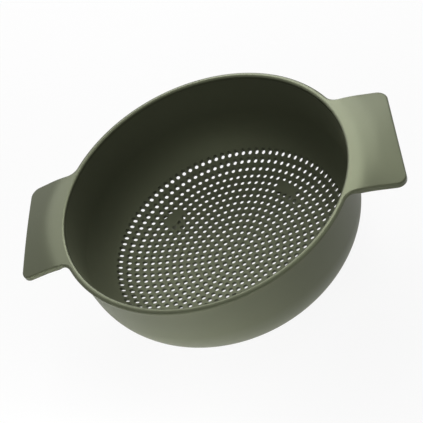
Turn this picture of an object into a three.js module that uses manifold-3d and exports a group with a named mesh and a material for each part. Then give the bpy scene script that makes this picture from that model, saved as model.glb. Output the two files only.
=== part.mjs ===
// A kitchen colander with two flat handles, in millimetres, +Z up.
// The origin is on the table, in the middle between the four feet. The handles lie along X.

import * as THREE from 'three';
import { mergeVertices } from 'three/addons/utils/BufferGeometryUtils.js';
import Module from 'manifold-3d';

const { degToRad } = THREE.MathUtils;

// Bowl: the inside surface is a drafted wall, a heel arc and a shallow dish, each tangent to the next
const rimInnerRadius = 112.5;
const bowlDepth = 95.3;
const wallThickness = 2.4;
const wallDraft = degToRad(1);
const heelRadius = 50.7;
const dishRadius = 275;

// Lip: the thickened edge that stands out past the wall
const lipOverhang = 2.2;
const lipHeight = 2.6;
const lipRound = 0.9;

// Handles: flat ears that fall away from the lip and grow thicker on the way out
const handleReach = 31;
const handleWidth = 94.5;
const handleThickness = 5;
const handleThickening = 7;
const handleDroop = degToRad(6.5);
const handleCornerRadius = 8;
const handleRootFillet = 11;

// Strainer: one hole in the middle and rings of 6, 12, 18 and so on around it
const ringCount = 12;
const holesInFirstRing = 6;
const holeAcrossFlats = 3.9;
const holeSides = 4;
const plainBorder = 16.5;
const strainerMargin = 12;
const plainBands = 2;

// Feet: four upright oblong studs, each in a gap left in one ring of holes
const footCount = 4;
const footRing = 9;
const footLength = 16;
const footWidth = 5;
const footDraftInset = 0.5;
const footHoleMargin = 0.4;
const standHeight = 5;

// Clearance kept where two pieces meet
const seatGap = 0.3;

// Facets round the axis, along the heel and round the small arcs
const turns = 48;
const heelSteps = 5;
const arcSteps = 5;

const plasticGreen = new THREE.Color(0x70745c);

const rimHeight = standHeight + wallThickness + bowlDepth;
const lipOuterRadius = rimInnerRadius + wallThickness + lipOverhang;
const strainerRadius = rimInnerRadius - plainBorder;
const ringPitch = strainerRadius / ringCount;
const strainerEdge = strainerRadius + strainerMargin;
const footCircle = footRing * ringPitch;
const holeRadius = holeAcrossFlats / 2 / Math.cos(Math.PI / holeSides);

// Centre of the dish's sphere, on the axis
const dishCentreZ = standHeight + wallThickness + dishRadius;

/** Centre of the heel arc, which touches both the drafted wall and the dish from inside. */
function heelCentre() {
  const slope = Math.tan(wallDraft);
  const start = rimInnerRadius - rimHeight * slope - heelRadius / Math.cos(wallDraft);
  const reach = dishRadius - heelRadius;
  const a = 1 + slope * slope;
  const b = start * slope - dishCentreZ;
  const c = start * start + dishCentreZ * dishCentreZ - reach * reach;
  const z = (-b - Math.sqrt(b * b - a * c)) / a;
  return new THREE.Vector2(start + slope * z, z);
}

const heel = heelCentre();
const dishShare = heel.x / (dishRadius - heelRadius);

/** Height of the bowl's surface over radius r, on the inside or `depth` below it. */
function surfaceZ(r, depth) {
  const dish = dishRadius + depth;
  if (r <= dish * dishShare) return dishCentreZ - Math.sqrt(dish * dish - r * r);
  const arc = heelRadius + depth;
  return heel.y - Math.sqrt(arc * arc - (r - heel.x) ** 2);
}

/** Points along the heel arc from the strainer's edge up to the wall, `depth` below the inside. */
function heelArc(depth) {
  const arc = heelRadius + depth;
  const from = Math.asin((strainerEdge - heel.x) / arc);
  const to = Math.PI / 2 - wallDraft;
  const points = [];
  for (let i = 0; i <= heelSteps; i++) {
    const angle = from + ((to - from) * i) / heelSteps;
    points.push(new THREE.Vector2(heel.x + arc * Math.sin(angle), heel.y - arc * Math.cos(angle)));
  }
  return points;
}

/** A closed body of revolution about Z from a closed outline of radius and height. */
function revolve(outline) {
  const geometry = new THREE.LatheGeometry([...outline, outline[0]], turns);
  return geometry.rotateX(Math.PI / 2);
}

const wasm = await Module();
wasm.setup();

/** Turns a closed geometry into a solid that can be joined and cut. */
function solid(geometry) {
  const bare = geometry.index ? geometry.clone() : geometry;
  for (const name of ['normal', 'uv']) bare.deleteAttribute(name);
  const merged = mergeVertices(bare, 1e-4);
  return new wasm.Manifold(
    new wasm.Mesh({
      numProp: 3,
      vertProperties: new Float32Array(merged.attributes.position.array),
      triVerts: new Uint32Array(merged.index.array),
    }),
  );
}

/** Turns a solid back into a geometry. */
function geometryOf(body) {
  const mesh = body.getMesh();
  const geometry = new THREE.BufferGeometry();
  geometry.setAttribute('position', new THREE.BufferAttribute(mesh.vertProperties, 3));
  geometry.setIndex(new THREE.BufferAttribute(mesh.triVerts, 1));
  return geometry;
}

/** Wall of the bowl with its lip, open below where the strainer closes it. */
function bowlWall() {
  const slope = Math.tan(wallDraft);
  const lipFoot = rimHeight - lipHeight;
  const wallOutside = rimInnerRadius + wallThickness / Math.cos(wallDraft) - lipHeight * slope;
  return revolve([
    ...heelArc(wallThickness),
    new THREE.Vector2(wallOutside, lipFoot),
    new THREE.Vector2(lipOuterRadius, lipFoot),
    new THREE.Vector2(lipOuterRadius, rimHeight - lipRound),
    new THREE.Vector2(lipOuterRadius - lipRound, rimHeight),
    new THREE.Vector2(rimInnerRadius + lipRound, rimHeight),
    new THREE.Vector2(rimInnerRadius - lipRound * slope, rimHeight - lipRound),
    ...heelArc(0).reverse(),
  ]);
}

/** Ring that the handles are cut from: it falls away from the lip and thickens outwards. */
function handleRing() {
  const root = rimInnerRadius + wallThickness / 2;
  const thick = lipOuterRadius + handleThickening;
  const outside = 2 * (lipOuterRadius + handleReach);
  const top = (r) => rimHeight - (r - rimInnerRadius) * Math.tan(handleDroop);
  return revolve([
    new THREE.Vector2(root, rimHeight - lipHeight),
    new THREE.Vector2(lipOuterRadius, rimHeight - lipHeight),
    new THREE.Vector2(thick, top(thick) - handleThickness),
    new THREE.Vector2(outside, top(outside) - handleThickness),
    new THREE.Vector2(outside, top(outside)),
    new THREE.Vector2(root, top(root)),
  ]);
}

/** Plan of one handle, from inside the lip out to its rounded corners. */
function handlePlan() {
  const half = handleWidth / 2;
  const end = lipOuterRadius + handleReach;
  const filletX = Math.sqrt((lipOuterRadius + handleRootFillet) ** 2 - (half + handleRootFillet) ** 2);
  const filletAngle = Math.atan2(half + handleRootFillet, filletX);
  const plan = new THREE.Shape();
  const root = rimInnerRadius;
  plan.moveTo(root * Math.cos(filletAngle), -root * Math.sin(filletAngle));
  plan.absarc(filletX, -half - handleRootFillet, handleRootFillet, Math.PI - filletAngle, Math.PI / 2, true);
  plan.absarc(end - handleCornerRadius, handleCornerRadius - half, handleCornerRadius, -Math.PI / 2, 0);
  plan.absarc(end - handleCornerRadius, half - handleCornerRadius, handleCornerRadius, 0, Math.PI / 2);
  plan.absarc(filletX, half + handleRootFillet, handleRootFillet, -Math.PI / 2, filletAngle - Math.PI, true);
  plan.lineTo(root * Math.cos(filletAngle), root * Math.sin(filletAngle));
  return plan;
}

/** The bowl in one piece: wall, lip and both handles. */
function bowlGeometry() {
  const plan = handlePlan();
  const upright = new THREE.ExtrudeGeometry(plan, {
    depth: 2 * rimHeight,
    bevelEnabled: false,
    curveSegments: arcSteps,
  });
  const ring = solid(handleRing());
  let body = solid(bowlWall());
  for (const side of [0, Math.PI]) {
    const blank = solid(upright.clone().rotateZ(side));
    body = body.add(ring.intersect(blank));
  }
  return geometryOf(body);
}

/** Directions of the feet about Z, between the handles. */
function footAngles() {
  const step = (2 * Math.PI) / footCount;
  return Array.from({ length: footCount }, (_, i) => (i + 0.5) * step);
}

/** Whether a hole at this place would run into a foot. */
function hitsFoot(x, y) {
  const clear = holeRadius + footHoleMargin;
  return footAngles().some((angle) => {
    const along = x * Math.cos(angle) + y * Math.sin(angle) - footCircle;
    const across = y * Math.cos(angle) - x * Math.sin(angle);
    return Math.abs(along) < footWidth / 2 + clear && Math.abs(across) < footLength / 2 + clear;
  });
}

/** Corner of a hole, counted from its side that faces on round the ring. */
function holeCorner(radius, angle, corner) {
  const turn = angle + Math.PI / 2 + (2 * Math.PI * corner) / holeSides;
  return new THREE.Vector2(
    radius * Math.cos(angle) + holeRadius * Math.cos(turn),
    radius * Math.sin(angle) + holeRadius * Math.sin(turn),
  );
}

/** All holes, ring by ring, each a list of corners in the plan. */
function holeRings() {
  const rings = [[Array.from({ length: holeSides }, (_, corner) => holeCorner(0, 0, corner))]];
  for (let ring = 1; ring <= ringCount; ring++) {
    const radius = ring * ringPitch;
    const count = ring * holesInFirstRing;
    const holes = [];
    for (let i = 0; i < count; i++) {
      const angle = (2 * Math.PI * i) / count;
      if (hitsFoot(radius * Math.cos(angle), radius * Math.sin(angle))) continue;
      holes.push(Array.from({ length: holeSides }, (_, corner) => holeCorner(radius, angle, corner)));
    }
    rings.push(holes);
  }
  return rings;
}

/** Triangles of the band between two closed lines round the axis, each sorted by angle. */
function stitch(inner, outer) {
  const triangles = [];
  const turnOf = (line, i) => line[i % line.length].turn + (i >= line.length ? 2 * Math.PI : 0);
  let i = 0;
  let j = 0;
  while (i < inner.length || j < outer.length) {
    const a = inner[i % inner.length].id;
    const b = outer[j % outer.length].id;
    if (j >= outer.length || (i < inner.length && turnOf(inner, i + 1) < turnOf(outer, j + 1))) {
      i += 1;
      triangles.push([a, b, inner[i % inner.length].id]);
    } else {
      j += 1;
      triangles.push([a, b, outer[j % outer.length].id]);
    }
  }
  return triangles;
}

/** The strainer: a dished plate pierced by its rings of holes, meshed ring by ring. */
function strainerGeometry() {
  const points = [];
  const place = (point) => {
    const turn = Math.atan2(point.y, point.x);
    points.push(point);
    return { id: points.length - 1, turn: turn < 0 ? turn + 2 * Math.PI : turn };
  };
  const sorted = (line) => line.sort((a, b) => a.turn - b.turn);
  const half = holeSides / 2;
  const loops = [];
  const faces = [];
  let inside = null;
  for (const ring of holeRings()) {
    const placed = ring.map((hole) => hole.map(place));
    loops.push(...placed.map((hole) => hole.map((corner) => corner.id)));
    if (inside) {
      const facingIn = placed.flatMap((hole) => hole.filter((_, i) => i === 0 || i <= half));
      faces.push(...stitch(inside, sorted(facingIn)));
      inside = sorted(placed.flatMap((hole) => hole.filter((_, i) => i === 0 || i >= half)));
    } else {
      inside = sorted(placed.flat());
    }
  }
  const edgeRadius = strainerEdge - seatGap;
  let edge = [];
  for (let band = 1; band <= plainBands; band++) {
    const radius = strainerRadius + ((edgeRadius - strainerRadius) * band) / plainBands;
    edge = Array.from({ length: turns }, (_, i) => {
      const angle = (2 * Math.PI * i) / turns;
      return place(new THREE.Vector2(radius * Math.cos(angle), radius * Math.sin(angle)));
    });
    faces.push(...stitch(inside, edge));
    inside = edge;
  }
  loops.push(edge.map((corner) => corner.id).reverse());

  const position = [];
  for (const depth of [0, wallThickness]) {
    for (const { x, y } of points) position.push(x, y, surfaceZ(Math.hypot(x, y), depth));
  }
  const under = points.length;
  const index = [];
  for (const loop of loops) {
    loop.forEach((a, i) => {
      const b = loop[(i + 1) % loop.length];
      index.push(a, b, b + under, a, b + under, a + under);
    });
  }
  for (const [a, b, c] of faces) index.push(a, b, c, c + under, b + under, a + under);
  const geometry = new THREE.BufferGeometry();
  geometry.setAttribute('position', new THREE.Float32BufferAttribute(position, 3));
  geometry.setIndex(index);
  return geometry;
}

/** One foot, standing on the table with its long side across X and its top fitted under the dish. */
function footGeometry() {
  const end = footWidth / 2;
  const straight = footLength / 2 - end;
  const plan = new THREE.Shape();
  plan.absarc(0, straight, end, 0, Math.PI);
  plan.absarc(0, -straight, end, Math.PI, 2 * Math.PI);
  const geometry = new THREE.ExtrudeGeometry(plan, {
    depth: rimHeight,
    bevelEnabled: false,
    curveSegments: arcSteps,
  });
  const position = geometry.attributes.position;
  for (let i = 0; i < position.count; i++) {
    const x = position.getX(i);
    const y = position.getY(i);
    if (position.getZ(i) > 0) {
      position.setZ(i, surfaceZ(Math.hypot(footCircle + x, y), wallThickness) - seatGap);
    } else {
      position.setXY(i, x * (1 - footDraftInset / end), y * (1 - (2 * footDraftInset) / footLength));
    }
  }
  return geometry;
}

/** A named piece in the colander's matt green plastic. */
function piece(name, geometry) {
  geometry.computeVertexNormals();
  const material = new THREE.MeshStandardMaterial({ color: plasticGreen, roughness: 0.5, metalness: 0 });
  const mesh = new THREE.Mesh(geometry, material);
  mesh.name = name;
  return mesh;
}

const colander = new THREE.Group();
colander.add(piece('bowl', bowlGeometry()));
colander.add(piece('strainer_base', strainerGeometry()));
const footNames = ['foot_rear_right', 'foot_rear_left', 'foot_front_left', 'foot_front_right'];
footAngles().forEach((angle, i) => {
  const foot = piece(footNames[i], footGeometry());
  foot.position.set(footCircle * Math.cos(angle), footCircle * Math.sin(angle), 0);
  foot.rotation.z = angle;
  colander.add(foot);
});

export default colander;
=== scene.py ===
"""A moulded olive-green colander on a pale studio floor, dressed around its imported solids.

Lengths are in metres in the part's own frame: +Z up, origin on the table, handles along X.
"""

import logging
import math
from dataclasses import dataclass, field
from enum import Enum
from typing import Any, Optional, Sequence, Union

import bpy
from mathutils import Matrix, Vector

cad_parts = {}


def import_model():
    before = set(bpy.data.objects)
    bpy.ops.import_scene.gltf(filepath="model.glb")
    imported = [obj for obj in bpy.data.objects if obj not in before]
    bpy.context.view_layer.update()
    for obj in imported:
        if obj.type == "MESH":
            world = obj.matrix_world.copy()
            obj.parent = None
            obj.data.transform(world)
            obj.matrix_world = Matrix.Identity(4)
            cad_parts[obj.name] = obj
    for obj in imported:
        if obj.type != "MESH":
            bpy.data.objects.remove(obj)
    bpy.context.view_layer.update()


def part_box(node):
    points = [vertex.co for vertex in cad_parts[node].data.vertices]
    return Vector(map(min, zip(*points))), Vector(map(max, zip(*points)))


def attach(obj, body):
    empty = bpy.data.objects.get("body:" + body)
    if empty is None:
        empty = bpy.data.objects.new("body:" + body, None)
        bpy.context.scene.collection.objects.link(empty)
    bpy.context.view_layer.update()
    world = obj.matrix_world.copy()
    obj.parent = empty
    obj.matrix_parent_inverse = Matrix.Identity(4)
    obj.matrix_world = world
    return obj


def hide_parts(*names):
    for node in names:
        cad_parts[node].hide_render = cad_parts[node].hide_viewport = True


LOG = logging.getLogger("colander")
MM = 0.001
FULL_TURN = 2 * math.pi
QUARTER_TURN = math.pi / 2
BODY = "root"

Point = tuple[float, float, float]
Plan = tuple[float, float]
Colour = tuple[float, float, float]
Rounding = tuple[float, float, float]
Triangle = tuple[int, int, int]
Number = Union[int, float]

WHITE: Colour = (1.0, 1.0, 1.0)
FEET = ("foot_rear_right", "foot_rear_left", "foot_front_left", "foot_front_right")


class Socket:
    """A node's output that can be used in Python expressions.

    Args:
        graph: The graph that new nodes go into.
        socket: The output that holds the value.
    """

    def __init__(self, graph: "Graph", socket: bpy.types.NodeSocket) -> None:
        self.graph = graph
        self.socket = socket

    def _math(self, operation: str, a: Any, b: Any) -> "Socket":
        """Adds a Math node for one operation on two values."""
        return self.graph.add("ShaderNodeMath", {"operation": operation}, {0: a, 1: b})

    def __add__(self, other: Any) -> "Socket":
        """self + other"""
        return self._math("ADD", self, other)

    def __radd__(self, other: Number) -> "Socket":
        """other + self"""
        return self._math("ADD", other, self)

    def __sub__(self, other: Any) -> "Socket":
        """self - other"""
        return self._math("SUBTRACT", self, other)

    def __mul__(self, other: Any) -> "Socket":
        """self * other"""
        return self._math("MULTIPLY", self, other)

    def __rmul__(self, other: Number) -> "Socket":
        """other * self"""
        return self._math("MULTIPLY", other, self)


class Graph:
    """The node graph of one material or world.

    Args:
        tree: The node tree to fill. Its old nodes are removed.
    """

    def __init__(self, tree: bpy.types.NodeTree) -> None:
        self.tree = tree
        tree.nodes.clear()

    def add(
        self,
        kind: str,
        settings: Optional[dict[str, Any]] = None,
        inputs: Optional[dict[Union[str, int], Any]] = None,
        output: Union[str, int] = 0,
    ) -> Socket:
        """Adds one node.

        Args:
            kind: The node's type name.
            settings: Properties of the node, set first.
            inputs: Values or links by socket name or number.
            output: The output to return.

        Returns:
            The chosen output, or the node's first input for a node with no outputs.
        """
        node = self.tree.nodes.new(kind)
        for name, value in (settings or {}).items():
            setattr(node, name, value)
        for key, value in (inputs or {}).items():
            if isinstance(value, Socket):
                self.tree.links.new(value.socket, node.inputs[key])
            else:
                node.inputs[key].default_value = value
        if not node.outputs:
            return Socket(self, node.inputs[0])
        return Socket(self, node.outputs[output])

    def background_seen(self) -> Socket:
        """Tells which rays see the background itself: straight, in a sheen or through glass.

        Returns:
            1 for such a ray, and 0 for one that only carries light.
        """
        kinds = ("Is Camera Ray", "Is Glossy Ray", "Is Transmission Ray")
        straight, sheen, glass = (self.add("ShaderNodeLightPath", output=kind) for kind in kinds)
        either = self.add("ShaderNodeMath", {"operation": "MAXIMUM"}, {0: straight, 1: sheen})
        return self.add("ShaderNodeMath", {"operation": "MAXIMUM"}, {0: either, 1: glass})

    def mix_colour(self, factor: Any, a: Any, b: Any) -> Socket:
        """Mixes two colours.

        Args:
            factor: Share of the second colour.
            a: First colour.
            b: Second colour.

        Returns:
            The mixed colour.
        """
        settings = {"data_type": "RGBA"}
        return self.add("ShaderNodeMix", settings, {0: factor, 6: a, 7: b}, output=2)


def rgba(colour: Colour) -> tuple[float, float, float, float]:
    """Adds full opacity to a linear colour."""
    return (colour[0], colour[1], colour[2], 1.0)


@dataclass(frozen=True)
class SatinPlastic:
    """Moulded polypropylene with the fine grain of a spark-eroded mould.

    Args:
        name: Name of the material.
        colour: Linear colour of the plastic.
        dense_colour: Linear colour where the pigment lies a little denser.
        roughness: Middle roughness of the surface.
        roughness_swing: How far grain and flow each change the roughness.
        coarse: How much rougher the dish and the walls are than the rim and handles.
        coarse_reach: Heights between which that roughness fades out, under the lip.
        coarse_span: Distances from the axis between which it fades out, so that the handles stay smooth.
        sheen: Strength of the surface's own reflection, 0.5 being a plain plastic's.
        sheen_tint: Linear colour of that reflection.
        refraction: Refractive index of the plastic.
        grain: Size of the mould's grain.
        grain_depth: Height of the mould's grain.
        grain_strength: How strongly that height shows.
        flow: Size of the slow changes of tone along the plastic's flow.
        flow_share: Part of the change of colour that follows the flow and not the grain.
    """

    name: str = "olive_polypropylene"
    colour: Colour = (0.099, 0.107, 0.070)
    dense_colour: Colour = (0.091, 0.098, 0.064)
    roughness: float = 0.24
    roughness_swing: float = 0.08
    coarse: float = 0.25
    coarse_reach: Plan = (97 * MM, 100 * MM)
    coarse_span: Plan = (117 * MM, 118.5 * MM)
    sheen: float = 0.38
    sheen_tint: Colour = (0.90, 1.0, 0.60)
    refraction: float = 1.49
    grain: float = 0.5 * MM
    grain_depth: float = 0.012 * MM
    grain_strength: float = 0.5
    flow: float = 38 * MM
    flow_share: float = 0.7
    GRAIN_DETAIL = 2.0
    FLOW_DETAIL = 3.0
    NOISE_MIDDLE = 0.5
    LEVEL = (1.0, 1.0, 0.0)

    def build(self) -> bpy.types.Material:
        """Makes the material.

        Returns:
            The new material.
        """
        material = bpy.data.materials.new(self.name)
        material.use_nodes = True
        graph = Graph(material.node_tree)
        place = graph.add("ShaderNodeTexCoord", output="Object")
        flow, grain = (
            graph.add("ShaderNodeTexNoise", None, {"Vector": place, "Scale": 1 / size, "Detail": detail})
            for size, detail in ((self.flow, self.FLOW_DETAIL), (self.grain, self.GRAIN_DETAIL))
        )
        uneven = (grain - self.NOISE_MIDDLE) + (flow - self.NOISE_MIDDLE)
        height = graph.add("ShaderNodeSeparateXYZ", None, {"Vector": place}, output="Z")
        flat = graph.add("ShaderNodeVectorMath", {"operation": "MULTIPLY"}, {0: place, 1: self.LEVEL})
        across = graph.add("ShaderNodeVectorMath", {"operation": "LENGTH"}, {0: flat}, output="Value")
        below, within = (
            graph.add("ShaderNodeMapRange", None, {"Value": value, 1: start, 2: end, 3: 1.0, 4: 0.0})
            for value, (start, end) in ((height, self.coarse_reach), (across, self.coarse_span))
        )
        pigment = self.flow_share * flow + (1 - self.flow_share) * grain
        colour = graph.mix_colour(pigment, rgba(self.colour), rgba(self.dense_colour))
        bump = graph.add(
            "ShaderNodeBump",
            None,
            {"Strength": self.grain_strength, "Distance": self.grain_depth, "Height": grain},
        )
        roughness = self.roughness + uneven * self.roughness_swing + below * within * self.coarse
        shader = graph.add(
            "ShaderNodeBsdfPrincipled",
            None,
            {
                "Base Color": colour,
                "Roughness": roughness,
                "Normal": bump,
                "IOR": self.refraction,
                "Specular IOR Level": self.sheen,
                "Specular Tint": rgba(self.sheen_tint),
            },
        )
        graph.add("ShaderNodeOutputMaterial", None, {"Surface": shader})
        return material


@dataclass(frozen=True)
class PaleFloor:
    """White floor that reads as a white background but keeps the object's shadow.

    Args:
        name: Name of the material.
        colour: Linear colour that the floor has for light.
        glow: Share of plain white in the floor as the camera and reflections see it.
    """

    name: str = "pale_floor"
    colour: Colour = (0.8, 0.8, 0.8)
    glow: float = 0.9

    def build(self) -> bpy.types.Material:
        """Makes the material.

        Returns:
            The new material.
        """
        material = bpy.data.materials.new(self.name)
        material.use_nodes = True
        graph = Graph(material.node_tree)
        matt = graph.add("ShaderNodeBsdfDiffuse", None, {"Color": rgba(self.colour)})
        white = graph.add("ShaderNodeEmission", None, {"Color": rgba(WHITE), "Strength": 1.0})
        seen = graph.background_seen() * self.glow
        floor = graph.add("ShaderNodeMixShader", None, {0: seen, 1: matt, 2: white})
        graph.add("ShaderNodeOutputMaterial", None, {"Surface": floor})
        return material


class Side(Enum):
    """The two surfaces of the wall, by the way that they face."""

    INSIDE = 1
    OUTSIDE = -1


@dataclass
class Row:
    """One closed line of corners round the body, with the normal at each.

    Args:
        corners: Numbers of the corners, anticlockwise from +X.
        normals: Normals at the corners.
    """

    corners: list[int] = field(default_factory=list)
    normals: list[Point] = field(default_factory=list)


class Draft:
    """Collects the corners and faces of one mesh, with exact normals where they are known."""

    def __init__(self) -> None:
        self.corners: list[Point] = []
        self.faces: list[tuple[int, ...]] = []
        self.normals: list[Optional[tuple[Point, ...]]] = []

    def corner(self, x: float, y: float, z: float) -> int:
        """Adds a corner.

        Args:
            x: Place along X.
            y: Place along Y.
            z: Height.

        Returns:
            The corner's number.
        """
        self.corners.append((x, y, z))
        return len(self.corners) - 1

    def face(self, corners: Sequence[int], normals: Optional[Sequence[Point]] = None) -> None:
        """Adds a face.

        Args:
            corners: Numbers of its corners, anticlockwise from outside.
            normals: Normal at each corner, or None to leave them to Blender.
        """
        self.faces.append(tuple(corners))
        self.normals.append(tuple(normals) if normals else None)

    def band(self, lower: Row, upper: Row) -> None:
        """Joins two rows with as many corners by four-sided faces.

        Args:
            lower: The first row.
            upper: The next row, to the right of the first as seen from outside.
        """
        count = len(lower.corners)
        for i in range(count):
            j = (i + 1) % count
            order = ((lower, i), (upper, i), (upper, j), (lower, j))
            normals = [row.normals[k] for row, k in order] if lower.normals else None
            self.face([row.corners[k] for row, k in order], normals)

    def mesh_object(self, name: str, material: bpy.types.Material) -> bpy.types.Object:
        """Makes the object.

        Args:
            name: Name of the piece.
            material: Its finish.

        Returns:
            The new object, linked to the scene.
        """
        mesh = bpy.data.meshes.new(name)
        mesh.from_pydata(self.corners, [], self.faces)
        mesh.materials.append(material)
        mesh.polygons.foreach_set("use_smooth", [True] * len(self.faces))
        mesh.update()
        if any(self.normals):
            unset: Point = (0.0, 0.0, 0.0)
            split: list[Point] = []
            for corners, normals in zip(self.faces, self.normals):
                split.extend(normals or [unset] * len(corners))
            mesh.normals_split_custom_set(split)
        piece = bpy.data.objects.new(name, mesh)
        bpy.context.scene.collection.objects.link(piece)
        return piece


@dataclass
class BowlForm:
    """Upright section of the bowl: a drafted wall, a heel arc and a dish, each tangent to the next.

    Args:
        rim_height: Height of the rim's top.
        lip_radius: Outer radius of the lip.
        dish_low: Height of the dish's underside at the middle.
        rim_radius: Inner radius of the rim.
        wall: Thickness of the plastic.
        draft: Lean of the wall.
        heel_radius: Radius of the heel arc, inside.
        dish_radius: Radius of the dish, inside.
    """

    rim_height: float
    lip_radius: float
    dish_low: float
    rim_radius: float = 112.3 * MM
    wall: float = 2.75 * MM
    draft: float = math.radians(1)
    heel_radius: float = 50.7 * MM
    dish_radius: float = 275 * MM
    dish_centre: float = field(init=False)
    heel: Plan = field(init=False)

    def __post_init__(self) -> None:
        """Works out the centres of the dish and of the heel arc."""
        self.dish_centre = self.dish_low + self.wall + self.dish_radius
        slope = math.tan(self.draft)
        start = self.rim_radius - self.rim_height * slope - self.heel_radius / math.cos(self.draft)
        reach = self.dish_radius - self.heel_radius
        a = 1 + slope**2
        b = start * slope - self.dish_centre
        c = start**2 + self.dish_centre**2 - reach**2
        z = (-b - math.sqrt(b * b - a * c)) / a
        self.heel = (start + slope * z, z)

    def depth(self, side: Side) -> float:
        """How far below the inside a surface lies."""
        return self.wall if side is Side.OUTSIDE else 0.0

    def on_dish(self, radius: float, side: Side) -> bool:
        """Whether the surface over this radius belongs to the dish and not to the heel."""
        share = self.heel[0] / (self.dish_radius - self.heel_radius)
        return radius <= (self.dish_radius + self.depth(side)) * share

    def height(self, radius: float, side: Side) -> float:
        """Height of the dish or heel.

        Args:
            radius: Distance from the axis.
            side: The surface.

        Returns:
            The height over that radius.
        """
        depth = self.depth(side)
        if self.on_dish(radius, side):
            return self.dish_centre - math.sqrt((self.dish_radius + depth) ** 2 - radius**2)
        return self.heel[1] - math.sqrt((self.heel_radius + depth) ** 2 - (radius - self.heel[0]) ** 2)

    def normal(self, x: float, y: float, side: Side) -> Point:
        """Normal of the dish or heel, pointing out of the plastic.

        Args:
            x: Place along X.
            y: Place along Y.
            side: The surface.

        Returns:
            The unit normal over that place.
        """
        radius = math.hypot(x, y)
        centre = (0.0, self.dish_centre) if self.on_dish(radius, side) else self.heel
        inward = Vector((centre[0] - radius, centre[1] - self.height(radius, side))).normalized()
        share = side.value * inward.x / radius if radius else 0.0
        return (x * share, y * share, side.value * inward.y)

    def heel_points(self, start: float, side: Side, steps: int) -> list[Plan]:
        """Section points up the heel arc.

        Args:
            start: Radius where the arc starts.
            side: The surface.
            steps: Number of steps.

        Returns:
            Radius and height of each point, from below.
        """
        arc = self.heel_radius + self.depth(side)
        low = math.asin((start - self.heel[0]) / arc)
        high = QUARTER_TURN - self.draft
        turns = [low + (high - low) * i / steps for i in range(steps + 1)]
        return [(self.heel[0] + arc * math.sin(t), self.heel[1] - arc * math.cos(t)) for t in turns]

    def wall_radius(self, z: float, side: Side) -> float:
        """Radius of the drafted wall at a height."""
        inside = self.rim_radius - (self.rim_height - z) * math.tan(self.draft)
        return inside + self.depth(side) / math.cos(self.draft)


@dataclass(frozen=True)
class EdgePoint:
    """A point of the flange's edge in the plan.

    Args:
        place: The point.
        out: Its outward normal.
    """

    place: Plan
    out: Plan

    def mirrored(self, x: int, y: int) -> "EdgePoint":
        """The point with X, Y or both turned round by a factor of -1."""
        return EdgePoint((self.place[0] * x, self.place[1] * y), (self.out[0] * x, self.out[1] * y))

    def inset(self, distance: float) -> Plan:
        """The place a distance in from the edge."""
        return (self.place[0] - self.out[0] * distance, self.place[1] - self.out[1] * distance)


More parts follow.
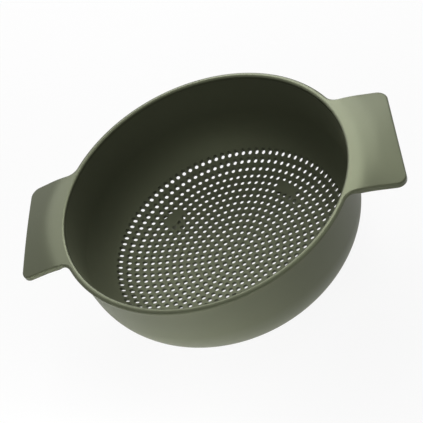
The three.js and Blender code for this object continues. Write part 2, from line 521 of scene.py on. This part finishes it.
@dataclass
class FlangeForm:
    """The lip and the two handles that grow out of it, as one flange around the bowl.

    Args:
        bowl: The bowl that carries it.
        handle_end: Distance of the handles' ends from the axis.
        handle_half: Half the handles' width.
        corner: Radius of the handles' corners.
        fillet: Radius where the handles' sides meet the lip.
        lip_height: Thickness of the lip.
        handle_height: Thickness of the handles.
        thickening: Distance over which the handles reach their thickness.
        bend_start: How far outside the lip the handles start to bend down.
        bend: Distance over which they bend.
        fall: Slope at which they end.
        inner_round: Width and height of the rim's inner rounding.
        lip_round: Width and height of the lip's upper outer rounding, then the radius of its lower one.
        handle_round: The same for the handles' edges.
        root_round: Radius under the lip, where it meets the wall.
    """

    bowl: BowlForm
    handle_end: float
    handle_half: float = 47.25 * MM
    corner: float = 8 * MM
    fillet: float = 11 * MM
    lip_height: float = 1.8 * MM
    handle_height: float = 5 * MM
    thickening: float = 7 * MM
    bend_start: float = 3 * MM
    bend: float = 16 * MM
    fall: float = 0.205
    inner_round: Plan = (2.2 * MM, 1.3 * MM)
    lip_round: Rounding = (2.2 * MM, 1.3 * MM, 0.3 * MM)
    handle_round: Rounding = (1.4 * MM, 1.4 * MM, 1.2 * MM)
    root_round: float = 0.8 * MM
    END_STEPS = 14
    CORNER_STEPS = 12
    SIDE_STEPS = 10
    FILLET_STEPS = 14
    LIP_STEPS = 44

    def top(self, radius: float) -> float:
        """Height of the upper face: level by the lip, then bending down into a slope."""
        out = max(radius - self.bowl.lip_radius - self.bend_start, 0.0)
        bent = min(out, self.bend)
        return self.bowl.rim_height - self.fall * (out - bent + bent * bent / (2 * self.bend))

    def share(self, radius: float) -> float:
        """How far the flange at a radius is handle and not lip."""
        share = min(max((radius - self.bowl.lip_radius) / self.thickening, 0.0), 1.0)
        return share * share * (3 - 2 * share)

    def thickness(self, radius: float) -> float:
        """Thickness of the flange at a radius."""
        return self.lip_height + (self.handle_height - self.lip_height) * self.share(radius)

    def edge_round(self, point: EdgePoint) -> Rounding:
        """Width and height of the upper outer rounding at a point, then the radius of the lower one."""
        share = self.share(math.hypot(*point.place))
        wide, tall, low = (a + (b - a) * share for a, b in zip(self.lip_round, self.handle_round))
        return wide, tall, low

    def under(self, radius: float) -> float:
        """Height of the lower face at a radius."""
        return self.top(radius) - self.thickness(radius)

    def handle_edge(self) -> list[EdgePoint]:
        """Edge of half a handle.

        Returns:
            The points from the middle of its end to the lip, anticlockwise.
        """
        flat = self.handle_half - self.corner
        straight = self.handle_end - self.corner
        reach_y = self.handle_half + self.fillet
        reach_x = math.sqrt((self.bowl.lip_radius + self.fillet) ** 2 - reach_y**2)
        stop = math.atan2(reach_y, reach_x)
        steps = self.END_STEPS
        edge = [EdgePoint((self.handle_end, flat * i / steps), (1.0, 0.0)) for i in range(steps)]
        for i in range(self.CORNER_STEPS + 1):
            turn = QUARTER_TURN * i / self.CORNER_STEPS
            out = (math.cos(turn), math.sin(turn))
            edge.append(EdgePoint((straight + self.corner * out[0], flat + self.corner * out[1]), out))
        for i in range(1, self.SIDE_STEPS):
            x = straight + (reach_x - straight) * i / self.SIDE_STEPS
            edge.append(EdgePoint((x, self.handle_half), (0.0, 1.0)))
        for i in range(self.FILLET_STEPS + 1):
            turn = QUARTER_TURN + (stop - QUARTER_TURN) * i / self.FILLET_STEPS
            out = (math.cos(turn), math.sin(turn))
            edge.append(EdgePoint((reach_x - self.fillet * out[0], reach_y - self.fillet * out[1]), out))
        return edge

    def outline(self) -> list[EdgePoint]:
        """Edge of the whole flange.

        Returns:
            The points, anticlockwise from +X.
        """
        quarter = self.handle_edge()
        start = math.atan2(quarter[-1].place[1], quarter[-1].place[0])
        radius = self.bowl.lip_radius
        for i in range(1, self.LIP_STEPS + 1):
            turn = start + (QUARTER_TURN - start) * i / self.LIP_STEPS
            out = (math.cos(turn), math.sin(turn))
            quarter.append(EdgePoint((radius * out[0], radius * out[1]), out))
        half = quarter + [point.mirrored(-1, 1) for point in reversed(quarter[:-1])]
        return half + [point.mirrored(1, -1) for point in reversed(half[1:-1])]


@dataclass
class HoleField:
    """The rings of round drain holes, with gaps where the feet stand.

    Args:
        pitch: Distance between rings.
        rings: Number of rings.
        first_ring: Holes in the first ring.
        diameter: Width of a hole.
        edge_round: Rounding of a hole's edges.
        sides: Corners of a hole.
        foot_ring: Ring that the feet stand on.
        foot_gap: Half the length along that ring that each foot keeps clear.
    """

    pitch: float = 6 * MM
    rings: int = 16
    first_ring: int = 6
    diameter: float = 3.9 * MM
    edge_round: float = 0.22 * MM
    sides: int = 12
    foot_ring: int = 12
    foot_gap: float = 9 * MM

    def blocked(self, ring: int, angle: float, feet: Sequence[float]) -> bool:
        """Whether a foot takes the place of a hole.

        Args:
            ring: Number of the ring.
            angle: Direction of the hole.
            feet: Directions of the feet.

        Returns:
            True if there is no hole.
        """
        if ring != self.foot_ring:
            return False
        away = [abs(turned(angle - foot)) for foot in feet]
        return min(away) * ring * self.pitch < self.foot_gap

    def centres(self, feet: Sequence[float]) -> list[list[tuple[Plan, float]]]:
        """Places of the holes.

        Args:
            feet: Directions of the feet.

        Returns:
            For each ring, the centre and direction of each hole.
        """
        found: list[list[tuple[Plan, float]]] = [[((0.0, 0.0), 0.0)]]
        for ring in range(1, self.rings + 1):
            radius, count = ring * self.pitch, ring * self.first_ring
            angles = [FULL_TURN * i / count for i in range(count)]
            kept = [a for a in angles if not self.blocked(ring, a, feet)]
            found.append([((radius * math.cos(a), radius * math.sin(a)), a) for a in kept])
        return found


@dataclass
class Chain:
    """A closed line of plan corners in the dish, in order round the axis.

    Args:
        places: Direction of each corner, and its number among the dish's plan corners.
    """

    places: list[tuple[float, int]]

    def __post_init__(self) -> None:
        """Starts the line at +X, and evens out directions that step back."""
        behind = [(turn + FULL_TURN, number) for turn, number in self.places if turn < 0]
        high = 0.0
        evened = []
        for turn, number in [entry for entry in self.places if entry[0] >= 0] + behind:
            high = max(high, turn)
            evened.append((high, number))
        self.places = evened

    def turn(self, i: int) -> float:
        """Direction of corner i, counted on past a full turn."""
        return self.places[i % len(self.places)][0] + (FULL_TURN if i >= len(self.places) else 0.0)

    def number(self, i: int) -> int:
        """Number of corner i."""
        return self.places[i % len(self.places)][1]

    def stitch(self, outer: "Chain") -> list[Triangle]:
        """Triangles of the band out to a wider line.

        Args:
            outer: The wider line.

        Returns:
            Corner numbers, anticlockwise from above.
        """
        triangles = []
        i, j = 0, 0
        while i < len(self.places) or j < len(outer.places):
            first, second = self.number(i), outer.number(j)
            inner_next = i < len(self.places) and self.turn(i + 1) < outer.turn(j + 1)
            if j >= len(outer.places) or inner_next:
                i += 1
                triangles.append((first, second, self.number(i)))
            else:
                j += 1
                triangles.append((first, second, outer.number(j)))
        return triangles


def direction(place: Plan) -> float:
    """Direction of a place from the axis, from nothing to a full turn."""
    return math.atan2(place[1], place[0]) % FULL_TURN


def turned(angle: float) -> float:
    """The same angle within half a turn either way."""
    return (angle + math.pi) % FULL_TURN - math.pi


class MouldedBody:
    """Wall, lip, handles and pierced dish as the one moulding that they are.

    Args:
        bowl: Section of the bowl.
        flange: Lip and handles.
        holes: Drain holes.
        feet: Directions of the feet.
    """

    EDGE_MARGIN = 3.5 * MM
    HEEL_STEPS = 14
    WALL_STEPS = 6
    ARC_STEPS = 6
    FACE_STEPS = 9
    SLOPE_STEP = 0.05 * MM

    def __init__(
        self,
        bowl: BowlForm,
        flange: FlangeForm,
        holes: HoleField,
        feet: Sequence[float],
    ) -> None:
        self.bowl = bowl
        self.flange = flange
        self.holes = holes
        self.feet = feet
        self.edge = flange.outline()
        self.turns = [direction(point.place) for point in self.edge]
        self.dish_edge = holes.pitch * holes.rings + self.EDGE_MARGIN
        self.draft = Draft()

    def round_row(self, radius: float, z: float, out: float, up: float) -> Row:
        """A row that runs round the axis.

        Args:
            radius: Its radius.
            z: Its height.
            out: Outward share of the normal.
            up: Upward share of the normal.

        Returns:
            The new row.
        """
        row = Row()
        for turn in self.turns:
            x, y = math.cos(turn), math.sin(turn)
            row.corners.append(self.draft.corner(x * radius, y * radius, z))
            row.normals.append((x * out, y * out, up))
        return row

    def wall_rows(self, side: Side, top: float) -> list[Row]:
        """Rows of the heel and wall.

        Args:
            side: The surface.
            top: Height where the wall ends.

        Returns:
            The rows from the dish's edge up.
        """
        rows = []
        bowl = self.bowl
        for radius, z in bowl.heel_points(self.dish_edge, side, self.HEEL_STEPS):
            inward = Vector((bowl.heel[0] - radius, bowl.heel[1] - z)).normalized() * side.value
            rows.append(self.round_row(radius, z, inward.x, inward.y))
        low = bowl.heel_points(self.dish_edge, side, 1)[1][1]
        out, up = -side.value * math.cos(bowl.draft), side.value * math.sin(bowl.draft)
        for i in range(1, self.WALL_STEPS + 1):
            z = low + (top - low) * i / self.WALL_STEPS
            rows.append(self.round_row(bowl.wall_radius(z, side), z, out, up))
        return rows

    def inner_edge_rows(self) -> list[Row]:
        """Rows of the rim's rounded inner edge, after the wall."""
        rows = []
        wide, tall = self.flange.inner_round
        radius, z = self.bowl.rim_radius + wide, self.bowl.rim_height - tall
        for i in range(1, self.ARC_STEPS + 1):
            turn = QUARTER_TURN * i / self.ARC_STEPS
            out, up = -math.cos(turn), math.sin(turn)
            lean = Vector((out * tall, up * wide)).normalized()
            rows.append(self.round_row(radius + out * wide, z + up * tall, lean.x, lean.y))
        return rows

    def face_row(self, starts: Sequence[Plan], ends: Sequence[Plan], share: float, side: Side) -> Row:
        """A row across the flange's upper or lower face.

        Args:
            starts: Places by the bowl, or at the edge for the lower face.
            ends: Places at the other end.
            share: How far the row lies from start to end.
            side: INSIDE for the upper face, OUTSIDE for the lower.

        Returns:
            The new row.
        """
        row = Row()
        height = self.flange.top if side is Side.INSIDE else self.flange.under
        step = self.SLOPE_STEP
        for start, end in zip(starts, ends):
            x = start[0] + (end[0] - start[0]) * share
            y = start[1] + (end[1] - start[1]) * share
            radius = math.hypot(x, y)
            slope = (height(radius + step) - height(radius - step)) / (2 * step)
            normal = Vector((-slope * x / radius, -slope * y / radius, 1.0)).normalized() * side.value
            row.corners.append(self.draft.corner(x, y, height(radius)))
            row.normals.append(tuple(normal))
        return row

    def edge_rows(self) -> list[Row]:
        """Rows round the flange's outer edge, from its upper face to its lower one."""
        flange = self.flange
        rows = []
        for i in range(1, self.ARC_STEPS + 1):
            turn = QUARTER_TURN * i / self.ARC_STEPS
            row = Row()
            for point in self.edge:
                wide, tall, _ = flange.edge_round(point)
                high = flange.top(math.hypot(*point.inset(wide)))
                place = point.inset(wide * (1 - math.sin(turn)))
                z = high - tall * (1 - math.cos(turn))
                row.corners.append(self.draft.corner(place[0], place[1], z))
                lean = Vector((math.sin(turn) * tall, math.cos(turn) * wide)).normalized()
                row.normals.append((point.out[0] * lean.x, point.out[1] * lean.x, lean.y))
            rows.append(row)
        for i in range(self.ARC_STEPS):
            turn = QUARTER_TURN * i / self.ARC_STEPS
            row = Row()
            for point in self.edge:
                size = flange.edge_round(point)[2]
                low = flange.under(math.hypot(*point.inset(size)))
                place = point.inset(size * (1 - math.cos(turn)))
                z = low + size * (1 - math.sin(turn))
                row.corners.append(self.draft.corner(place[0], place[1], z))
                out = math.cos(turn)
                row.normals.append((point.out[0] * out, point.out[1] * out, -math.sin(turn)))
            rows.append(row)
        return rows

    def root_rows(self) -> list[Row]:
        """Rows of the hollow rounding under the lip, down to the wall."""
        size = self.flange.root_round
        radius, high = self.root_radius(), self.flange.under(self.root_radius())
        rows = []
        for i in range(1, self.ARC_STEPS):
            turn = QUARTER_TURN * i / self.ARC_STEPS
            out, up = math.sin(turn), math.cos(turn)
            rows.append(self.round_row(radius - size * out, high - size * (1 - up), out, -up))
        return rows

    def root_radius(self) -> float:
        """Radius where the lip's lower face turns down into the wall."""
        return self.bowl.wall_radius(self.bowl.rim_height, Side.OUTSIDE) + self.flange.root_round

    def build_wall(self) -> tuple[Row, Row]:
        """Makes the wall, lip and handles.

        Returns:
            The rows at the dish's edge, inside and outside.
        """
        flange = self.flange
        inside = self.wall_rows(Side.INSIDE, self.bowl.rim_height - flange.inner_round[1])
        rows = inside + self.inner_edge_rows()
        crest = self.bowl.rim_radius + flange.inner_round[0]
        crests = [(crest * math.cos(t), crest * math.sin(t)) for t in self.turns]
        upper_ends = [point.inset(flange.edge_round(point)[0]) for point in self.edge]
        shares = [(i + 1) / self.FACE_STEPS for i in range(self.FACE_STEPS)]
        rows += [self.face_row(crests, upper_ends, share, Side.INSIDE) for share in shares]
        rows += self.edge_rows()
        root = self.root_radius()
        roots = [(root * math.cos(t), root * math.sin(t)) for t in self.turns]
        lower_ends = [point.inset(flange.edge_round(point)[2]) for point in self.edge]
        rows += [self.face_row(lower_ends, roots, share, Side.OUTSIDE) for share in [0.0] + shares]
        rows += self.root_rows()
        outside = self.wall_rows(Side.OUTSIDE, flange.under(root) - flange.root_round)
        rows += reversed(outside)
        for lower, upper in zip(rows, rows[1:]):
            self.draft.band(lower, upper)
        return inside[0], outside[0]

    def hole_corners(self, centre: Plan, angle: float, radius: float) -> list[Plan]:
        """Corners of a hole, from its side that faces on round the ring."""
        sides = self.holes.sides
        turns = [angle + QUARTER_TURN + FULL_TURN * i / sides for i in range(sides)]
        return [(centre[0] + radius * math.cos(t), centre[1] + radius * math.sin(t)) for t in turns]

    def build_dish(self, inside: Row, outside: Row) -> None:
        """Makes the pierced dish.

        Args:
            inside: Row at its edge, on the inside.
            outside: Row at its edge, on the outside.
        """
        holes = self.holes
        half = holes.sides // 2
        mouths: list[Plan] = []
        bores: list[tuple[Plan, list[Plan], int]] = []
        triangles: list[Triangle] = []
        reached: Optional[Chain] = None
        for ring in holes.centres(self.feet):
            near: list[tuple[float, int]] = []
            far: list[tuple[float, int]] = []
            for centre, angle in ring:
                mouth = self.hole_corners(centre, angle, holes.diameter / 2 + holes.edge_round)
                bores.append((centre, self.hole_corners(centre, angle, holes.diameter / 2), len(mouths)))
                turns = [angle + turned(direction(place) - angle) for place in mouth]
                entries = [(turn, len(mouths) + i) for i, turn in enumerate(turns)]
                near += reversed(entries[: half + 1])
                far += entries[half:] + entries[:1]
                mouths.extend(mouth)
            if reached is None:
                far = sorted(entries)
            else:
                triangles += reached.stitch(Chain(near))
            reached = Chain(far)
        rim = Chain([(turn, len(mouths) + i) for i, turn in enumerate(self.turns)])
        triangles += reached.stitch(rim)
        faces: dict[Side, Row] = {}
        for side, edge in ((Side.INSIDE, inside), (Side.OUTSIDE, outside)):
            faces[side] = self.dish_face(mouths, edge, side, triangles)
        for centre, bore, first in bores:
            self.build_bore(centre, bore, first, faces)

    def dish_face(
        self,
        mouths: Sequence[Plan],
        edge: Row,
        side: Side,
        triangles: Sequence[Triangle],
    ) -> Row:
        """Makes one face of the dish.

        Args:
            mouths: Plan corners of all holes.
            edge: Row at the dish's edge.
            side: The surface.
            triangles: Corner numbers, anticlockwise from above.

        Returns:
            The face's corners and normals.
        """
        row = Row()
        for x, y in mouths:
            row.corners.append(self.draft.corner(x, y, self.bowl.height(math.hypot(x, y), side)))
            row.normals.append(self.bowl.normal(x, y, side))
        row.corners += edge.corners
        row.normals += edge.normals
        for triangle in triangles:
            order = triangle[:: side.value]
            self.draft.face([row.corners[i] for i in order], [row.normals[i] for i in order])
        return row

    def build_bore(self, centre: Plan, bore: Sequence[Plan], first: int, faces: dict[Side, Row]) -> None:
        """Makes the wall of one hole with its two rounded edges.

        Args:
            centre: Middle of the hole.
            bore: Plan corners of its wall.
            first: Number of its first corner in the dish's faces.
            faces: The dish's faces.
        """
        radius = self.holes.diameter / 2
        count = len(bore)
        rows = []
        mouths = []
        for side in (Side.INSIDE, Side.OUTSIDE):
            face = faces[side]
            mouths.append(Row(face.corners[first : first + count], face.normals[first : first + count]))
            row = Row()
            for x, y in bore:
                z = self.bowl.height(math.hypot(x, y), side) - side.value * self.holes.edge_round
                row.corners.append(self.draft.corner(x, y, z))
                row.normals.append(((centre[0] - x) / radius, (centre[1] - y) / radius, 0.0))
            rows.append(row)
        for lower, upper in ((rows[0], mouths[0]), (rows[1], rows[0]), (mouths[1], rows[1])):
            self.draft.band(lower, upper)

    def build(self, material: bpy.types.Material) -> bpy.types.Object:
        """Makes the piece.

        Args:
            material: Its finish.

        Returns:
            The new object.
        """
        inside, outside = self.build_wall()
        self.build_dish(inside, outside)
        piece = self.draft.mesh_object("moulded_body", material)
        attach(piece, BODY)
        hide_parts("bowl", "strainer_base")
        return piece


@dataclass
class Foot:
    """One upright stud under the dish, oblong in the plan.

    Args:
        node: Name of the solid that it stands for.
        bowl: The bowl that it carries.
        length: Length round the bowl.
        width: Width outwards.
        taper: How much each side draws in towards the table.
        toe_round: Radius of the edge on the table.
        root_round: Radius where the foot grows out of the dish.
        sink: How far the foot reaches into the dish's plastic.
    """

    node: str
    bowl: BowlForm
    length: float = 15 * MM
    width: float = 4.4 * MM
    taper: float = 0.9 * MM
    toe_round: float = 0.8 * MM
    root_round: float = 0.4 * MM
    sink: float = 0.6 * MM
    SIDES = 36
    STEPS = 5
    SHARP_ANGLE = math.radians(50)

    def outline(self, inset: float) -> list[Plan]:
        """Oblong with round ends.

        Args:
            inset: How far it is drawn in on all sides.

        Returns:
            The plan points in the foot's own frame.
        """
        end = self.width / 2 - inset
        straight = (self.length - self.width) / 2
        points = []
        for i in range(self.SIDES):
            turn = FULL_TURN * (i + 0.5) / self.SIDES
            shift = straight if math.sin(turn) > 0 else -straight
            points.append((end * math.cos(turn), shift + end * math.sin(turn)))
        return points

    def toe_levels(self) -> list[Plan]:
        """Height over the table and inset of each row of the rounded toe, from the table up."""
        levels = []
        for i in range(self.STEPS + 1):
            turn = QUARTER_TURN * i / self.STEPS
            rise = self.toe_round * (1 - math.cos(turn))
            levels.append((rise, self.taper + self.toe_round * (1 - math.sin(turn))))
        return levels

    def row(
        self,
        draft: Draft,
        centre: Plan,
        inset: float,
        rise: Optional[float],
        hang: float = 0.0,
    ) -> Row:
        """Adds one row of corners.

        Args:
            draft: The mesh that it goes into.
            centre: Distance of the foot's middle from the axis, and its direction.
            inset: How far the row is drawn in on all sides.
            rise: Height of a level row, or None for a row that follows the dish.
            hang: How far below the dish's underside a row lies that follows it.

        Returns:
            The new row.
        """
        radius, turn = centre
        row = Row()
        for x, y in self.outline(inset):
            z = rise
            if z is None:
                z = self.bowl.height(math.hypot(radius + x, y), Side.OUTSIDE) - hang
            along = (radius + x) * math.cos(turn) - y * math.sin(turn)
            across = (radius + x) * math.sin(turn) + y * math.cos(turn)
            row.corners.append(draft.corner(along, across, z))
        return row

    def build(self, material: bpy.types.Material) -> bpy.types.Object:
        """Makes the piece.

        Args:
            material: Its finish.

        Returns:
            The new object.
        """
        low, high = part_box(self.node)
        middle = (low + high) / 2
        centre = (math.hypot(middle.x, middle.y), math.atan2(middle.y, middle.x))
        draft = Draft()
        rows = [self.row(draft, centre, inset, low.z + rise) for rise, inset in self.toe_levels()]
        for i in range(self.STEPS + 1):
            bend = QUARTER_TURN * i / self.STEPS
            grow = self.root_round * (1 - math.cos(bend))
            rows.append(self.row(draft, centre, -grow, None, self.root_round * (1 - math.sin(bend))))
        rows.append(self.row(draft, centre, -self.root_round, None, -self.sink))
        for lower, upper in zip(rows, rows[1:]):
            draft.band(upper, lower)
        draft.face(list(reversed(rows[0].corners)))
        draft.face(rows[-1].corners)
        piece = draft.mesh_object(self.node.replace("foot", "stud"), material)
        piece.data.set_sharp_from_angle(angle=self.SHARP_ANGLE)
        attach(piece, BODY)
        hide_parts(self.node)
        return piece


def bearing(azimuth: float, elevation: float) -> Vector:
    """Unit vector towards a direction in degrees, 0 in front and 90 on the right."""
    a, e = math.radians(azimuth), math.radians(elevation)
    return Vector((math.sin(a) * math.cos(e), -math.cos(a) * math.cos(e), math.sin(e)))


@dataclass(frozen=True)
class SoftBox:
    """A square studio lamp that faces a chosen point.

    Args:
        name: Name of the lamp.
        azimuth: Direction in degrees, 0 in front and 90 on the right.
        elevation: Height in degrees above that point.
        distance: Distance from that point.
        size: Length of its side.
        power: Power in watts.
    """

    name: str
    azimuth: float
    elevation: float
    distance: float
    size: float
    power: float

    def build(self, target: Vector) -> bpy.types.Object:
        """Makes the lamp.

        Args:
            target: The point that it faces.

        Returns:
            The new lamp.
        """
        data = bpy.data.lights.new(self.name, "AREA")
        data.energy = self.power
        data.size = self.size
        lamp = bpy.data.objects.new(self.name, data)
        back = bearing(self.azimuth, self.elevation)
        lamp.location = target + back * self.distance
        lamp.rotation_mode = "QUATERNION"
        lamp.rotation_quaternion = back.to_track_quat("Z", "Y")
        bpy.context.scene.collection.objects.link(lamp)
        return lamp


@dataclass(frozen=True)
class Viewpoint:
    """The photograph's camera, fitted to the rim, the handles and the rings of holes.

    Args:
        azimuth: Direction of the camera in degrees, 0 in front.
        elevation: Height of the camera in degrees.
        roll: Turn of the picture in degrees.
        distance: Depth of the rim's middle, in rim radii.
        rim_pixel: Where the rim's middle lies in the picture.
        axis_pixel: Where the lens's axis meets the picture.
        focal_pixels: Focal length in pixels.
        frame_pixels: Side of the picture in pixels.
    """

    azimuth: float = 23.35
    elevation: float = 47.43
    roll: float = 31.52
    distance: float = 5.896
    rim_pixel: Plan = (198.40, 182.30)
    axis_pixel: Plan = (175.3, 261.5)
    focal_pixels: float = 878.5
    frame_pixels: float = 423.0
    NAME = "photo_camera"
    SENSOR_WIDTH = 36.0
    CLIP_START = 10 * MM

    def build(self, bowl: BowlForm) -> bpy.types.Object:
        """Makes the camera.

        Args:
            bowl: The bowl that it looks at.

        Returns:
            The new camera.
        """
        back = bearing(self.azimuth, self.elevation)
        right = Vector((0, 0, 1)).cross(back).normalized()
        level = Matrix((right, back.cross(right), back)).transposed()
        turn = level @ Matrix.Rotation(math.radians(-self.roll), 3, "Z")
        depth = self.distance * bowl.rim_radius
        offset = [(p - q) / self.focal_pixels * depth for p, q in zip(self.rim_pixel, self.axis_pixel)]
        data = bpy.data.cameras.new(self.NAME)
        data.sensor_width = self.SENSOR_WIDTH
        data.lens = self.focal_pixels / self.frame_pixels * data.sensor_width
        data.shift_x = (self.frame_pixels / 2 - self.axis_pixel[0]) / self.frame_pixels
        data.shift_y = (self.axis_pixel[1] - self.frame_pixels / 2) / self.frame_pixels
        data.clip_start = self.CLIP_START
        data.dof.use_dof = False
        camera = bpy.data.objects.new(self.NAME, data)
        target = Vector((0, 0, bowl.rim_height))
        place = target - turn @ Vector((offset[0], -offset[1], -depth))
        camera.matrix_world = Matrix.Translation(place) @ turn.to_4x4()
        bpy.context.scene.collection.objects.link(camera)
        bpy.context.scene.camera = camera
        return camera


class Studio:
    """Floor, lamps and surroundings.

    The floor wash hangs low over the floor in front of the object and outside the picture, so that
    the front wall is lit from below, by the floor alone.

    Args:
        middle: The point that the other lamps face.
    """

    LAMPS = (
        SoftBox("front_fill", -10, 28, 1.2, 0.9, 2.2),
        SoftBox("above", 180, 75, 1.2, 0.4, 0.5),
        SoftBox("high_back", 177, 56, 1.2, 0.22, 1.4),
        SoftBox("back", -172, 41, 1.2, 0.4, 3.5),
        SoftBox("back_right", 164, 41, 1.2, 0.4, 2.8),
        SoftBox("back_left", -147, 41, 1.2, 0.4, 1.6),
        SoftBox("right_rear", 135, 43, 1.2, 0.4, 1.4),
        SoftBox("right", 90, 63, 1.2, 0.4, 1.2),
        SoftBox("low_back", 178, 24, 1.2, 0.4, 1.6),
    )
    FLOOR_WASH = SoftBox("floor_wash", 0, 90, 0.085, 0.32, 4.4)
    WASHED = (-0.19, -0.40, 0.0)
    FLOOR_HALF = 4.0
    WORLD_LEVEL = 0.08

    def __init__(self, middle: Vector) -> None:
        self.middle = middle

    def build(self) -> None:
        """Makes everything around the object."""
        half = self.FLOOR_HALF
        floor = Draft()
        plan = ((-half, -half), (half, -half), (half, half), (-half, half))
        floor.face([floor.corner(x, y, 0.0) for x, y in plan])
        floor.mesh_object("floor", PaleFloor().build())
        for lamp in self.LAMPS:
            lamp.build(self.middle)
        self.FLOOR_WASH.build(Vector(self.WASHED))
        world = bpy.data.worlds.new("surroundings")
        world.use_nodes = True
        bpy.context.scene.world = world
        graph = Graph(world.node_tree)
        strength = self.WORLD_LEVEL + graph.background_seen() * (1 - self.WORLD_LEVEL)
        light = graph.add("ShaderNodeBackground", None, {"Color": rgba(WHITE), "Strength": strength})
        graph.add("ShaderNodeOutputWorld", None, {"Surface": light})
        bpy.context.scene.view_settings.view_transform = "Standard"


def main() -> None:
    """Builds the colander and its setting."""
    logging.basicConfig(level=logging.INFO, format="%(message)s")
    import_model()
    _, bowl_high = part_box("bowl")
    dish_low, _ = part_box("strainer_base")
    bowl = BowlForm(bowl_high.z, bowl_high.y, dish_low.z)
    flange = FlangeForm(bowl, bowl_high.x)
    plastic = SatinPlastic().build()
    middles = [sum(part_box(name), Vector()) / 2 for name in FEET]
    feet = [math.atan2(middle.y, middle.x) for middle in middles]
    pieces = [MouldedBody(bowl, flange, HoleField(), feet).build(plastic)]
    pieces += [Foot(name, bowl).build(plastic) for name in FEET]
    for piece in pieces:
        LOG.info("%s: %d faces", piece.name, len(piece.data.polygons))
    Viewpoint().build(bowl)
    Studio(Vector((0, 0, bowl.rim_height / 2))).build()


if __name__ == "__main__":
    main()
